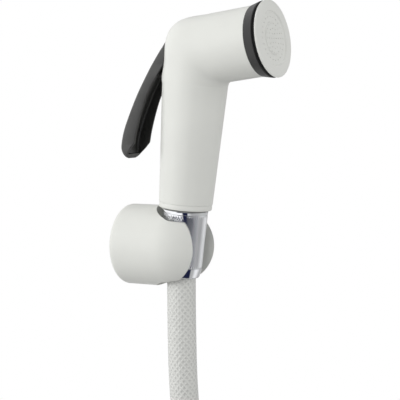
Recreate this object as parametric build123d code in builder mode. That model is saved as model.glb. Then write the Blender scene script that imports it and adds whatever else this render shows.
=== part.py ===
from build123d import *
import os
from math import atan2, cos, pi, radians, sin, sqrt, tan

os.makedirs("parts", exist_ok=True)

# Handheld bidet shower hanging in its wall holder, with its hose.
# Millimetres. X is the width, +Y points into the wall and +Z is up.
# The origin is the centre of the holder's wall face.
# "out" is the distance from the wall, "up" the height above the origin.

# Lines that everything hangs on
seat_out = 35.3  # wall to the axis of the holder's seat, at the origin's height
grip_lean = 5.2  # degrees that the grip leans away from the wall
elbow_up = 107.9  # seat centre to the point where grip axis and head axis meet
head_rise = 8.2  # degrees that the head points above level
head_reach = 46.9  # that point to the middle of the spray face

# Fits
running_gap = 0.05  # radial clearance of turning and sliding fits
loose_gap = 0.3  # clearance between things that only lie against each other
same_size = 0.01

# Casing of the handset
casing_wall = 2.6
casing_foot_r = 14.9
casing_grip_r = 18.1  # where the bend starts
casing_neck_r = 19.2  # where the bend ends
casing_mouth_wall = 2.35  # round the nozzle body
corner_r = 14.0  # outside of the bend
crook_r = 4.0  # inside of the bend
bend_sections = 7
foot_round = 1.0
guide_below_top = 4.0  # web round the riser, below the riser socket
guide_thickness = 2.0
guide_gap = 2.2
guide_overlap = 0.3

# End cap at the foot of the grip
lip_r = 14.7
lip_height = 3.7
lip_round = 0.8
cap_skirt_height = 9.0
cap_skirt_wall = 1.0
lip_clearance = 0.5  # lip to the top of the hose nut

# Hose connection, G1/2
thread_r = 10.4
thread_length = 10.8
thread_lead = 0.8
water_bore_r = 4.0
connector_flange = 3.0
connector_length = 12.0

# Riser and outlet tubes
tube_r = 5.2
tube_wall = 1.2
tube_insertion = 6.0
socket_wall = 1.8
outlet_bore_r = 2.5

# Valve
valve_back_out = 31.0
valve_length = 24.0
valve_r = 8.0
gland_bore_r = 5.4
gland_depth = 2.4
gland_head = 1.6
gland_head_r = 6.2
seal_r = 4.5
seal_thickness = 1.4
outlet_chamber = 4.2
seat_web = 1.2
seat_hole_r = 2.6
chamber_r = 6.2
plug_depth = 3.0
plug_flange = 1.2
plug_flange_r = 7.0
washer_r = 4.4
washer_thickness = 2.0
stem_r = 1.5
stem_out_back = 26.4  # free end of the stem
stem_collar_r = 3.0
stem_collar = 1.0
stem_chamfer = 0.5
stem_tip = 3.0  # inside the spring
spring_wire_r = 0.4
spring_r = 2.6
spring_turns = 4
gallery_r = 5.2
gallery_bore_r = 3.0
gallery_start = -9.4  # along the head axis from the corner point
gallery_end = 12.0
gallery_end_wall = 1.4
transfer_hole_r = 1.7
transfer_out = 37.0

# Lever
lever_width = 17.0
lever_wall = 2.0
press_boss_length = 8.0
pin_out = 32.5
pin_below_elbow = 0.4
pin_above_valve = 11.5
pin_r = 1.4
pin_length = 20.8
barrel_r = 2.8
slot_side_gap = 0.5
slot_below_valve = 5.0
slot_above_pin = 5.5
pin_boss_r = 4.6
pin_boss_length = 4.5  # beside the lever
press_boss_r = 2.6
lever_tip_round = 2.6
lever_tip_length = 59.5  # pin to the tip's lowest point
lever_tip_depth = 28.5  # pin back to that point
lever_tip_wall = 2.7
# Points of the lever in its side view, behind and below the pin
lever_hollow_top = (2.9, 4.2)
lever_head = ((3.0, 4.0), (1.0, 0), (2.3, -2.7))
lever_back = (
    (4.5, -3.7),
    (10.3, 4.5),
    (16.4, 14.2),
    (21.8, 24.6),
    (26.3, 34.5),
    (30.0, 43.8),
    (31.7, 51.5),
    (31.1, 56.9),
)
lever_mouth = ((22.9, 50.5), (21.6, 44.0), (18.9, 34.5), (15.5, 25.2), (11.3, 17.3), (4.9, 8.1))
lever_stations = (0.13, 0.3, 0.5, 0.7, 0.85, 0.96)  # along the back, where the hollow runs

# Head
face_overhang = 1.7  # past the casing's mouth
plate_edge = 1.0
collar_recess = 0.7
collar_length = 6.8
collar_step = 1.3
collar_flare = 0.2
nozzle_body_r = 16.9
nozzle_body_insertion = 13.0
nozzle_body_wall = 2.2
nozzle_spigot_length = 7.0
nozzle_spigot_wall = 1.6
nozzle_floor = 2.0
nozzle_chamfer = 2.0
nozzle_room = 2.5  # behind the nozzle body
skirt_depth = 4.5
skirt_wall = 1.6
channel_outer_r = 14.4
channel_inner_r = 9.2
channel_depth = 0.6
plate_thickening = 0.8
plate_back_break = 0.3
plate_front_drop = 0.4
plate_front_slope = 0.8
hole_r = 0.3
hole_ring_radii = (2.8, 5.4, 8.0, 11.8)
holes_more_per_ring = 6
flow_disc_thickness = 2.0
flow_hole_r = 1.2
flow_hole_circle_r = 8.0
flow_holes = 8
flow_disc_rim = 3.0
face_seal_gap = 1.2

# Cone nut of the hose
nut_top_r = 12.8
nut_bottom_r = 11.7
nut_top_up = 19.8
nut_length = 37.8
nut_mouth_gap = 1.1
nut_collar = 2.5
nut_groove = 0.4
nut_edge_break = 0.4
nut_end_step = 0.2
nut_end_chamfer = 0.8
nut_shoulder_up = 4.0
hose_washer_r = 9.8
tail_flange = 3.0
tail_r = 5.0
tail_neck = 3.0
tail_length = 15.0
tail_bore_r = 3.5
tail_neck_inset = 1.0  # inside the hose's outside
barb_depth = 0.5
barb_lead = 1.0
ferrule_wall = 0.6
ferrule_length = 8.0
ferrule_room = 1.0  # the nut's bore narrows this far below the ferrule
filter_height = 2.4
filter_thickness = 0.6
filter_taper = 1.0

# Hose
hose_r = 8.0
hose_length = 1500.0
arc_share = 0.45  # of the shorter run beside each bend
hose_lean_end_up = -13.0  # the hose follows the nut's axis down to here
coil_r = 90.0
coil_turns = 2
coil_pitch = 17.0
coil_out = 56.0  # at the start of its first turn
coil_up = -268.0
coil_ease = 0.5
tie_width = 8.0
tie_thickness = 1.2
tie_gap = 0.3
tie_angles = (125.0, 245.0)

# Supply nut at the hose's far end, G1/2
supply_nut_flats = 24.0
supply_nut_length = 16.0
supply_nut_start = 0.3  # past the end of the hose
supply_head = 2.5
supply_washer = 2.0

# Holder
holder_r = 22.5
holder_barrel = 29.9  # wall to where the domed front starts
holder_back_round = 3.6
holder_wall = 5.2
sleeve_wall = 2.6
seat_gap = 0.25
seat_cup_r = 15.8
seat_cup_floor_up = 15.0
slot_width = 20.6
slot_mouth_width = 26.0
slot_flare_out = 38.0  # where the slot starts to widen
boss_r = 4.6
boss_set_back = 0.3
seat_flare_r = 12.6
seat_flare_up = -23.0
screw_spacing = 13.0
screw_r = 1.9
screw_thread_r = 2.1
screw_head_r = 3.8
screw_head = 2.4
screw_length = 31.0
screw_sink = 0.6  # head below the seat's surface
screw_tip = 3.0
holder_rib = 1.6

# Planes and points that the sizes above give
lean = radians(grip_lean)
rise = radians(head_rise)
turn = pi / 2 - lean - rise
pin_up = elbow_up - pin_below_elbow
valve_up = pin_up - pin_above_valve  # height of the stem's axis
slot_bottom_up = valve_up - slot_below_valve
slot_top_up = pin_up + slot_above_pin
side = Plane(origin=(0, 0, 0), x_dir=(0, -1, 0), z_dir=(-1, 0, 0))
grip = Plane(origin=(0, -seat_out, 0), x_dir=(1, 0, 0), z_dir=(0, -sin(lean), cos(lean)))
elbow = grip.offset(elbow_up).origin
head = Plane(origin=elbow, x_dir=(1, 0, 0), z_dir=(0, -cos(rise), sin(rise)))
grip_side = Plane(origin=grip.origin, x_dir=(0, -cos(lean), -sin(lean)), z_dir=(-1, 0, 0))
head_side = Plane(origin=elbow, x_dir=(0, -sin(rise), -cos(rise)), z_dir=(-1, 0, 0))
grip_axis = Axis(grip.origin, grip.z_dir)
head_axis = Axis(elbow, head.z_dir)
valve_axis = Axis((0, 0, valve_up), (0, -1, 0))
valve_side = Plane(origin=(0, 0, valve_up), x_dir=(0, 0, -1), z_dir=(-1, 0, 0))

lip_up = nut_top_up + lip_clearance
casing_up = lip_up + lip_height
collar_start = head_reach - plate_edge - collar_recess - collar_length
plate_back = head_reach - plate_edge
casing_mouth_r = nozzle_body_r + running_gap + casing_mouth_wall
face_r = casing_mouth_r + face_overhang
casing_foot_bore_r = casing_foot_r - casing_wall
holder_cavity_r = holder_r - holder_wall
holder_front = holder_barrel + holder_r
nozzle_back = collar_start - nozzle_body_insertion - nozzle_spigot_length
connector_bottom_up = lip_up - thread_length
connector_top_up = casing_up + connector_length
valve_front_out = valve_back_out + valve_length
seat_web_out = valve_back_out + gland_depth + seal_thickness + outlet_chamber
chamber_out = seat_web_out + seat_web
riser_top_up = valve_up / cos(lean) - valve_r - tube_insertion
nut_bottom_up = nut_top_up - nut_length
hose_start_up = nut_shoulder_up - tail_neck
coil_advance = coil_turns * coil_pitch
coil_middle_out = coil_out + coil_advance / 2


def nut_radius(up):
    """Radius of the cone nut at a height along the grip axis."""
    return nut_bottom_r + (nut_top_r - nut_bottom_r) * (up - nut_bottom_up) / nut_length


def bend_pivot():
    """Point on the inside of the bend, crook_r clear of both walls, seen from the elbow."""
    toward_grip = casing_grip_r + crook_r
    toward_head = casing_neck_r + crook_r
    grip_front = Vector(0, -cos(lean), -sin(lean))
    head_below = Vector(0, -sin(rise), -cos(rise))
    overlap = grip_front.dot(head_below)
    a = (toward_grip - overlap * toward_head) / (1 - overlap**2)
    b = (toward_head - overlap * toward_grip) / (1 - overlap**2)
    return elbow + grip_front * a + head_below * b


def bend_reach(angle):
    """Distance from the pivot to the outside of the bend, in the direction of this angle."""
    grip_depth = crook_r + 2 * casing_grip_r
    head_depth = crook_r + 2 * casing_neck_r
    to_grip = grip_depth - corner_r
    to_head = head_depth - corner_r
    along = (to_head - to_grip * cos(turn)) / sin(turn)
    if angle < atan2(along, grip_depth):
        return grip_depth / cos(angle)
    if angle > turn - atan2(sqrt(to_grip**2 + along**2 - to_head**2), head_depth):
        return head_depth / cos(turn - angle)
    centre_distance = sqrt(to_grip**2 + along**2)
    offset_angle = angle - atan2(along, to_grip)
    across = centre_distance * sin(offset_angle)
    return centre_distance * cos(offset_angle) + sqrt(corner_r**2 - across**2)


def bend_radii(points):
    """Arc radius at each corner of a route, from its shorter run and half its turn."""
    radii = []
    for before, corner, after in zip(points, points[1:], points[2:]):
        shorter = min((corner - before).length, (after - corner).length)
        half_turn = radians((corner - before).get_angle(after - corner)) / 2
        radii.append(arc_share * shorter / tan(half_turn))
    return radii


pivot = bend_pivot()
bend_start_up = (pivot - grip.origin).dot(grip.z_dir)
bend_end = (pivot - elbow).dot(head.z_dir)
hose_points = [
    grip.offset(hose_start_up).origin,
    grip.offset(hose_lean_end_up).origin,
    Vector(0, -36.3, -105.0),
    Vector(22.2, -38.9, -147.6),
    Vector(67.9, -45.4, -179.6),
    Vector(coil_r, -54.5, -222.2),
    Vector(coil_r, -coil_out, coil_up),
]
hose_radii = bend_radii(hose_points)
hose_route = FilletPolyline(*hose_points, radius=hose_radii)
coil_length = coil_turns * sqrt((2 * pi * coil_r) ** 2 + coil_pitch**2)
hose_end_run = hose_length - hose_route.length - coil_length
supply = Plane(
    origin=(coil_r, -coil_out - coil_advance, coil_up - hose_end_run),
    x_dir=(1, 0, 0),
    z_dir=(0, 0, -1),
)
supply_side = Plane(origin=supply.origin, x_dir=(1, 0, 0), z_dir=(0, 1, 0))
supply_axis = Axis(supply.origin, (0, 0, -1))
hex_corner = supply_nut_flats * (1 / cos(pi / 6) - 1) / 2
screw_head_out = seat_out - nut_radius(0) - seat_gap - screw_sink


def casing_form(inset, foot_up, mouth):
    """The casing's outside, or its inside when inset by the wall."""
    with BuildPart() as form:
        with BuildSketch(grip_side):
            Polygon(
                (0, foot_up),
                (casing_foot_r - inset, foot_up),
                (casing_grip_r - inset, bend_start_up),
                (0, bend_start_up),
                align=None,
            )
        revolve(axis=grip_axis)
        for n in range(bend_sections):
            angle = turn * n / (bend_sections - 1)
            outward = Vector(0, cos(lean + angle), sin(lean + angle))
            depth = (bend_reach(angle) - crook_r) / 2
            width = casing_grip_r + (casing_neck_r - casing_grip_r) * angle / turn
            middle = pivot + outward * (crook_r + depth)
            across = Plane(origin=middle, x_dir=outward, z_dir=outward.cross(Vector(-1, 0, 0)))
            with BuildSketch(across):
                Ellipse(depth - inset, width - inset)
        loft()
        with BuildSketch(head_side):
            Polygon(
                (0, bend_end),
                (casing_neck_r - inset, bend_end),
                (casing_mouth_r - inset, mouth),
                (0, mouth),
                align=None,
            )
        revolve(axis=head_axis)
    return form.part


def make_casing():
    """Bent moulded shell, open at the foot and at the head, slotted behind for the lever."""
    outside = casing_form(0, casing_up, collar_start)
    inside = casing_form(casing_wall, casing_up, collar_start)
    slot_width_x = lever_width + 2 * slot_side_gap
    with BuildPart() as casing:
        add(outside)
        add(inside, mode=Mode.SUBTRACT)
        with BuildSketch(head.offset(collar_start)):
            Circle(nozzle_body_r + running_gap)
        extrude(amount=-nozzle_body_insertion - nozzle_room, mode=Mode.SUBTRACT)
        with BuildSketch(grip.offset(riser_top_up - guide_below_top)):
            Circle(casing_grip_r - casing_wall + guide_overlap)
            Circle(tube_r + guide_gap, mode=Mode.SUBTRACT)
        extrude(amount=guide_thickness)
        with BuildSketch(side):
            with Locations((pin_out, pin_up)):
                Circle(pin_boss_r)
        extrude(amount=lever_width / 2 + pin_boss_length, both=True)
        add(outside, mode=Mode.INTERSECT)
        with BuildSketch(side):
            with Locations((pin_out + pin_boss_r, (slot_bottom_up + slot_top_up) / 2)):
                Rectangle(casing_neck_r, slot_top_up - slot_bottom_up, align=(Align.MAX, Align.CENTER))
        extrude(amount=slot_width_x / 2, both=True, mode=Mode.SUBTRACT)
        with BuildSketch(side):
            with Locations((pin_out, pin_up)):
                Circle(pin_r + running_gap)
        extrude(amount=pin_length / 2 + running_gap, both=True, mode=Mode.SUBTRACT)
        foot_rim = casing.edges().filter_by(GeomType.CIRCLE).sort_by(grip_axis)[:2]
        fillet(foot_rim.sort_by(SortBy.LENGTH)[-1], foot_round)
    casing.part.label = "casing"
    export_step(casing.part, "parts/casing.step")


def make_grip_end_cap():
    """Cap with the lip below the grip, pushed into the casing's foot."""
    bore_r = thread_r + running_gap
    skirt_r = casing_foot_bore_r - running_gap
    skirt_top = casing_up + cap_skirt_height
    with BuildPart() as cap:
        with BuildSketch(grip_side):
            Polygon(
                (bore_r, lip_up),
                (lip_r, lip_up),
                (lip_r, casing_up),
                (skirt_r, casing_up),
                (skirt_r, skirt_top),
                (skirt_r - cap_skirt_wall, skirt_top),
                (skirt_r - cap_skirt_wall, casing_up),
                (bore_r, casing_up),
                align=None,
            )
        revolve(axis=grip_axis)
        rims = cap.edges().filter_by(GeomType.CIRCLE).filter_by(lambda e: abs(e.radius - lip_r) < same_size)
        fillet(rims, lip_round)
    cap.part.label = "grip_end_cap"
    export_step(cap.part, "parts/grip_end_cap.step")


def make_inlet_connector():
    """Threaded spigot for the hose nut, with its flange inside the end cap."""
    flange_r = casing_foot_bore_r - running_gap - cap_skirt_wall - running_gap
    socket_r = tube_r + running_gap
    with BuildPart() as connector:
        with BuildSketch(grip_side):
            Polygon(
                (water_bore_r, connector_bottom_up),
                (thread_r - thread_lead, connector_bottom_up),
                (thread_r, connector_bottom_up + thread_lead),
                (thread_r, casing_up),
                (flange_r, casing_up),
                (flange_r, casing_up + connector_flange),
                (socket_r + socket_wall, casing_up + connector_flange),
                (socket_r + socket_wall, connector_top_up),
                (socket_r, connector_top_up),
                (socket_r, connector_top_up - tube_insertion),
                (water_bore_r, connector_top_up - tube_insertion),
                align=None,
            )
        revolve(axis=grip_axis)
    connector.part.label = "inlet_connector"
    export_step(connector.part, "parts/inlet_connector.step")


def make_riser_tube():
    """Straight tube from the connector up to the valve."""
    with BuildPart() as riser:
        with BuildSketch(grip.offset(connector_top_up - tube_insertion)):
            Circle(tube_r)
            Circle(tube_r - tube_wall, mode=Mode.SUBTRACT)
        extrude(amount=riser_top_up - connector_top_up + 2 * tube_insertion)
    riser.part.label = "riser_tube"
    export_step(riser.part, "parts/riser_tube.step")


def make_valve_body():
    """Valve barrel across the grip, inlet socket below, gallery toward the head."""
    socket_r = tube_r + running_gap
    with BuildPart() as body:
        with BuildSketch(Plane.XZ.offset(valve_back_out)):
            with Locations((0, valve_up)):
                Circle(valve_r)
        extrude(amount=valve_length)
        with BuildSketch(grip.offset(riser_top_up)):
            Circle(socket_r + socket_wall)
        extrude(amount=tube_insertion + valve_r / 2)
        with BuildSketch(head.offset(gallery_start)):
            Circle(gallery_r)
        extrude(amount=gallery_end - gallery_start)
        with BuildSketch(valve_side):
            Polygon(
                (0, valve_back_out),
                (gland_bore_r, valve_back_out),
                (gland_bore_r, valve_back_out + gland_depth),
                (seal_r + running_gap, valve_back_out + gland_depth),
                (seal_r + running_gap, seat_web_out),
                (seat_hole_r, seat_web_out),
                (seat_hole_r, chamber_out),
                (chamber_r, chamber_out),
                (chamber_r, valve_front_out),
                (0, valve_front_out),
                align=None,
            )
        revolve(axis=valve_axis, mode=Mode.SUBTRACT)
        with BuildSketch(grip.offset(riser_top_up)):
            Circle(socket_r)
        extrude(amount=tube_insertion, mode=Mode.SUBTRACT)
        with BuildSketch(grip.offset(riser_top_up)):
            Circle(stem_collar_r)
        extrude(amount=tube_insertion + valve_r / 2, mode=Mode.SUBTRACT)
        with BuildSketch(head.offset(gallery_start + gallery_end_wall)):
            Circle(gallery_bore_r)
        extrude(amount=gallery_end, mode=Mode.SUBTRACT)
        with BuildSketch(head.offset(gallery_end - tube_insertion)):
            Circle(gallery_r - tube_wall + running_gap)
        extrude(amount=tube_insertion, mode=Mode.SUBTRACT)
        with BuildSketch(Plane.XY.offset(valve_up)):
            with Locations((0, -transfer_out)):
                Circle(transfer_hole_r)
        extrude(amount=elbow.Z - valve_up, mode=Mode.SUBTRACT)
    body.part.label = "valve_body"
    export_step(body.part, "parts/valve_body.step")


def make_gland_nut():
    """Nut that holds the stem's seal in the back of the valve."""
    with BuildPart() as gland:
        with BuildSketch(Plane.XZ.offset(valve_back_out - gland_head)):
            with Locations((0, valve_up)):
                RegularPolygon(gland_head_r, 6)
                Circle(stem_r + running_gap, mode=Mode.SUBTRACT)
        extrude(amount=gland_head)
        with BuildSketch(Plane.XZ.offset(valve_back_out)):
            with Locations((0, valve_up)):
                Circle(gland_bore_r)
                Circle(stem_r + running_gap, mode=Mode.SUBTRACT)
        extrude(amount=gland_depth)
    gland.part.label = "gland_nut"
    export_step(gland.part, "parts/gland_nut.step")


def make_stem_seal():
    """Rubber ring round the stem, under the gland nut."""
    with BuildPart() as seal:
        with BuildSketch(Plane.XZ.offset(valve_back_out + gland_depth)):
            with Locations((0, valve_up)):
                Circle(seal_r)
                Circle(stem_r + running_gap, mode=Mode.SUBTRACT)
        extrude(amount=seal_thickness)
    seal.part.label = "stem_seal"
    export_step(seal.part, "parts/stem_seal.step")


def make_valve_stem():
    """Push rod from the lever to the valve washer, with its collar in front of the washer."""
    collar_out = chamber_out + washer_thickness
    with BuildPart() as stem:
        with BuildSketch(valve_side):
            Polygon(
                (0, stem_out_back),
                (stem_r - stem_chamfer, stem_out_back),
                (stem_r, stem_out_back + stem_chamfer),
                (stem_r, collar_out),
                (stem_collar_r, collar_out),
                (stem_collar_r, collar_out + stem_collar),
                (stem_r, collar_out + stem_collar),
                (stem_r, collar_out + stem_collar + stem_tip),
                (0, collar_out + stem_collar + stem_tip),
                align=None,
            )
        revolve(axis=valve_axis)
    stem.part.label = "valve_stem"
    export_step(stem.part, "parts/valve_stem.step")


def make_valve_washer():
    """Rubber washer that closes the seat."""
    with BuildPart() as washer:
        with BuildSketch(Plane.XZ.offset(chamber_out)):
            with Locations((0, valve_up)):
                Circle(washer_r)
                Circle(stem_r, mode=Mode.SUBTRACT)
        extrude(amount=washer_thickness)
    washer.part.label = "valve_washer"
    export_step(washer.part, "parts/valve_washer.step")


def make_valve_plug():
    """Plug that closes the front of the valve and carries the spring."""
    with BuildPart() as plug:
        with BuildSketch(Plane.XZ.offset(valve_front_out - plug_depth)):
            with Locations((0, valve_up)):
                Circle(chamber_r)
        extrude(amount=plug_depth)
        with BuildSketch(Plane.XZ.offset(valve_front_out)):
            with Locations((0, valve_up)):
                Circle(plug_flange_r)
        extrude(amount=plug_flange)
    plug.part.label = "valve_plug"
    export_step(plug.part, "parts/valve_plug.step")


def make_return_spring():
    """Coil spring between the stem's collar and the plug."""
    back = chamber_out + washer_thickness + stem_collar + spring_wire_r
    front = valve_front_out - plug_depth - spring_wire_r
    height = front - back
    with BuildPart() as spring:
        with BuildLine() as wire:
            Helix(
                pitch=height / spring_turns,
                height=height,
                radius=spring_r,
                center=(0, -back, valve_up),
                direction=(0, -1, 0),
            )
        with BuildSketch(Plane(origin=wire.line @ 0, z_dir=wire.line % 0)):
            Circle(spring_wire_r)
        sweep(is_frenet=True)
    spring.part.label = "return_spring"
    export_step(spring.part, "parts/return_spring.step")


def lever_point(behind, below):
    """Point of the lever in its side view."""
    return Vector(pin_out - behind, pin_up - below)


def lever_plan(half, height):
    """Prism with the lever's rounded tip, seen from the wall."""
    with BuildPart() as plan:
        with BuildSketch(Plane.XZ):
            with Locations((0, pin_up - lever_tip_length + lever_width / 2)):
                Circle(half)
                Rectangle(2 * half, height, align=(Align.CENTER, Align.MIN))
        extrude(amount=2 * pin_out)
    return plan.part


def make_lever():
    """Channel lever, open toward the grip, with its barrel on the pin and its press boss."""
    half = lever_width / 2
    tip = lever_point(lever_tip_depth, lever_tip_length)
    mouth = [lever_point(*place) for place in lever_mouth]
    with BuildPart() as hollow:
        with BuildSketch(side):
            with BuildLine():
                back = Spline(*[lever_point(*place) for place in lever_back], mode=Mode.PRIVATE)
                inset = [back @ u + Vector(-(back % u).Y, (back % u).X) * lever_wall for u in lever_stations]
                floor = Spline(*inset)
                lip = tip + (mouth[0] - tip).normalized() * lever_tip_wall
                clear = Vector(lever_wall, -lever_wall / 2)
                open_side = [point + Vector(lever_wall, 0) for point in mouth]
                top = lever_point(*lever_hollow_top)
                Polyline(floor @ 1, lip, lip + clear, mouth[0] + clear, *open_side, top, floor @ 0)
            make_face()
        extrude(amount=half - lever_wall, both=True)
        add(lever_plan(half - lever_wall, 2 * lever_tip_length), mode=Mode.INTERSECT)
    with BuildPart() as lever:
        with BuildSketch(side):
            with BuildLine():
                back = Spline(*[lever_point(*place) for place in lever_back])
                RadiusArc(back @ 1, tip, lever_tip_round)
                Line(tip, mouth[0])
                Spline(*mouth)
                Polyline(mouth[-1], *[lever_point(*place) for place in lever_head], back @ 0)
            make_face()
        extrude(amount=half, both=True)
        add(lever_plan(half, 2 * lever_tip_length), mode=Mode.INTERSECT)
        add(hollow.part, mode=Mode.SUBTRACT)
        with BuildSketch(Plane.XZ.offset(stem_out_back - loose_gap)):
            with Locations((0, valve_up)):
                Circle(press_boss_r)
        extrude(amount=-press_boss_length)
        with BuildSketch(side):
            with Locations((pin_out, pin_up)):
                Circle(barrel_r)
        extrude(amount=half, both=True)
        with BuildSketch(side):
            with Locations((pin_out, pin_up)):
                Circle(pin_r + running_gap)
        extrude(amount=half, both=True, mode=Mode.SUBTRACT)
    lever.part.label = "lever"
    export_step(lever.part, "parts/lever.step")


def make_lever_pin():
    """Steel pin through the lever's barrel, held in two blind holes of the casing."""
    with BuildPart() as pin:
        with BuildSketch(side):
            with Locations((pin_out, pin_up)):
                Circle(pin_r)
        extrude(amount=pin_length / 2, both=True)
    pin.part.label = "lever_pin"
    export_step(pin.part, "parts/lever_pin.step")


def make_outlet_tube():
    """Short tube from the valve's gallery to the nozzle body."""
    tube_out_r = gallery_r - tube_wall
    with BuildPart() as outlet:
        with BuildSketch(head.offset(gallery_end - tube_insertion)):
            Circle(tube_out_r)
            Circle(outlet_bore_r, mode=Mode.SUBTRACT)
        extrude(amount=nozzle_back - gallery_end + 2 * tube_insertion)
    outlet.part.label = "outlet_tube"
    export_step(outlet.part, "parts/outlet_tube.step")


def make_nozzle_body():
    """Cup in the mouth of the casing that feeds the spray plate."""
    socket_r = gallery_r - tube_wall + running_gap
    floor = collar_start - nozzle_body_insertion
    front = plate_back - face_seal_gap
    with BuildPart() as body:
        with BuildSketch(head_side):
            Polygon(
                (outlet_bore_r, floor),
                (socket_r, floor),
                (socket_r, nozzle_back),
                (socket_r + nozzle_spigot_wall, nozzle_back),
                (socket_r + nozzle_spigot_wall, floor - nozzle_chamfer),
                (nozzle_body_r - nozzle_chamfer, floor - nozzle_chamfer),
                (nozzle_body_r, floor),
                (nozzle_body_r, front),
                (nozzle_body_r - nozzle_body_wall, front),
                (nozzle_body_r - nozzle_body_wall, floor + nozzle_floor),
                (outlet_bore_r, floor + nozzle_floor),
                align=None,
            )
        revolve(axis=head_axis)
    body.part.label = "nozzle_body"
    export_step(body.part, "parts/nozzle_body.step")


def make_flow_disc():
    """Disc with a ring of holes that calms the water before the spray plate."""
    floor = collar_start - nozzle_body_insertion + nozzle_floor
    with BuildPart() as disc:
        with BuildSketch(head.offset(floor + flow_disc_rim)):
            Circle(nozzle_body_r - nozzle_body_wall - running_gap)
        extrude(amount=flow_disc_thickness)
        with BuildSketch(head.offset(floor)):
            Circle(nozzle_body_r - nozzle_body_wall - running_gap)
            Circle(nozzle_body_r - nozzle_body_wall - flow_disc_thickness, mode=Mode.SUBTRACT)
        extrude(amount=flow_disc_rim)
        with BuildSketch(head.offset(floor + flow_disc_rim)):
            with PolarLocations(flow_hole_circle_r, flow_holes):
                Circle(flow_hole_r)
        extrude(amount=flow_disc_thickness, mode=Mode.SUBTRACT)
    disc.part.label = "flow_disc"
    export_step(disc.part, "parts/flow_disc.step")


def make_collar_ring():
    """Black ring on the nozzle body, between the casing and the spray plate."""
    ring_front = collar_start + collar_length
    with BuildPart() as collar:
        with BuildSketch(head_side):
            Polygon(
                (nozzle_body_r + running_gap, collar_start),
                (casing_mouth_r + collar_flare, collar_start),
                (face_r, ring_front),
                (face_r - collar_step, ring_front),
                (face_r - collar_step, plate_back),
                (nozzle_body_r + running_gap, plate_back),
                align=None,
            )
        revolve(axis=head_axis)
    collar.part.label = "collar_ring"
    export_step(collar.part, "parts/collar_ring.step")


def make_spray_plate():
    """White face with its dish of spray holes and a skirt that screws into the nozzle body."""
    skirt_r = nozzle_body_r - nozzle_body_wall - running_gap
    with BuildPart() as plate:
        with BuildSketch(head_side):
            Polygon(
                (0, plate_back - plate_thickening),
                (skirt_r - skirt_wall, plate_back - plate_thickening),
                (skirt_r - skirt_wall, plate_back - skirt_depth),
                (skirt_r, plate_back - skirt_depth),
                (skirt_r, plate_back),
                (face_r - plate_back_break, plate_back),
                (face_r, plate_back + plate_back_break),
                (face_r, head_reach - plate_front_drop),
                (face_r - plate_front_slope, head_reach),
                (channel_outer_r + channel_depth, head_reach),
                (channel_outer_r, head_reach - channel_depth),
                (channel_inner_r, head_reach - channel_depth),
                (channel_inner_r - channel_depth, head_reach),
                (0, head_reach),
                align=None,
            )
        revolve(axis=head_axis)
        with BuildSketch(head.offset(head_reach)):
            Circle(hole_r)
            for n, circle_r in enumerate(hole_ring_radii):
                with PolarLocations(circle_r, (n + 1) * holes_more_per_ring):
                    Circle(hole_r)
        extrude(amount=-2 * (plate_edge + plate_thickening), mode=Mode.SUBTRACT)
    plate.part.label = "spray_plate"
    export_step(plate.part, "parts/spray_plate.step")


def make_face_seal():
    """Flat rubber ring between the nozzle body and the spray plate."""
    with BuildPart() as seal:
        with BuildSketch(head.offset(plate_back - face_seal_gap)):
            Circle(nozzle_body_r)
            Circle(nozzle_body_r - nozzle_body_wall, mode=Mode.SUBTRACT)
        extrude(amount=face_seal_gap)
    seal.part.label = "face_seal"
    export_step(seal.part, "parts/face_seal.step")


def make_cone_nut():
    """Tapered hose nut that sits in the holder and screws onto the inlet connector."""
    groove_up = nut_top_up - nut_collar
    band_up = nut_bottom_up + nut_collar
    bore_r = thread_r + running_gap
    with BuildPart() as nut:
        with BuildSketch(grip_side):
            Polygon(
                (bore_r, nut_top_up),
                (nut_top_r - nut_edge_break, nut_top_up),
                (nut_top_r, nut_top_up - nut_edge_break),
                (nut_radius(groove_up), groove_up),
                (nut_radius(groove_up) - nut_groove, groove_up - nut_groove),
                (nut_radius(groove_up) - nut_groove, groove_up - 2 * nut_groove),
                (nut_radius(groove_up - 3 * nut_groove), groove_up - 3 * nut_groove),
                (nut_radius(band_up), band_up),
                (nut_bottom_r - nut_end_step, nut_bottom_up + nut_end_chamfer),
                (nut_bottom_r - nut_end_chamfer, nut_bottom_up),
                (hose_r + nut_mouth_gap, nut_bottom_up),
                (hose_r + loose_gap, hose_start_up - ferrule_length - ferrule_room),
                (hose_r + ferrule_wall + loose_gap, hose_start_up - ferrule_length),
                (hose_r + ferrule_wall + loose_gap, nut_shoulder_up),
                (bore_r, nut_shoulder_up),
                align=None,
            )
        revolve(axis=grip_axis)
    nut.part.label = "cone_nut"
    export_step(nut.part, "parts/cone_nut.step")


def make_hose_washer():
    """Rubber washer between the hose tail and the handset's thread."""
    with BuildPart() as washer:
        with BuildSketch(grip.offset(nut_shoulder_up + tail_flange)):
            Circle(hose_washer_r)
            Circle(water_bore_r, mode=Mode.SUBTRACT)
        extrude(amount=connector_bottom_up - nut_shoulder_up - tail_flange)
    washer.part.label = "hose_washer"
    export_step(washer.part, "parts/hose_washer.step")


def make_filter_screen():
    """Domed screen held in the washer's bore."""
    screen_up = nut_shoulder_up + tail_flange
    dome_floor_up = screen_up + filter_height - filter_thickness
    with BuildPart() as screen:
        with BuildSketch(grip_side):
            Polygon(
                (0, screen_up + filter_height),
                (water_bore_r - filter_taper, screen_up + filter_height),
                (water_bore_r - running_gap, screen_up),
                (water_bore_r - filter_thickness, screen_up),
                (water_bore_r - filter_taper - filter_thickness / 2, dome_floor_up),
                (0, dome_floor_up),
                align=None,
            )
        revolve(axis=grip_axis)
    screen.part.label = "filter_screen"
    export_step(screen.part, "parts/filter_screen.step")


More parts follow.
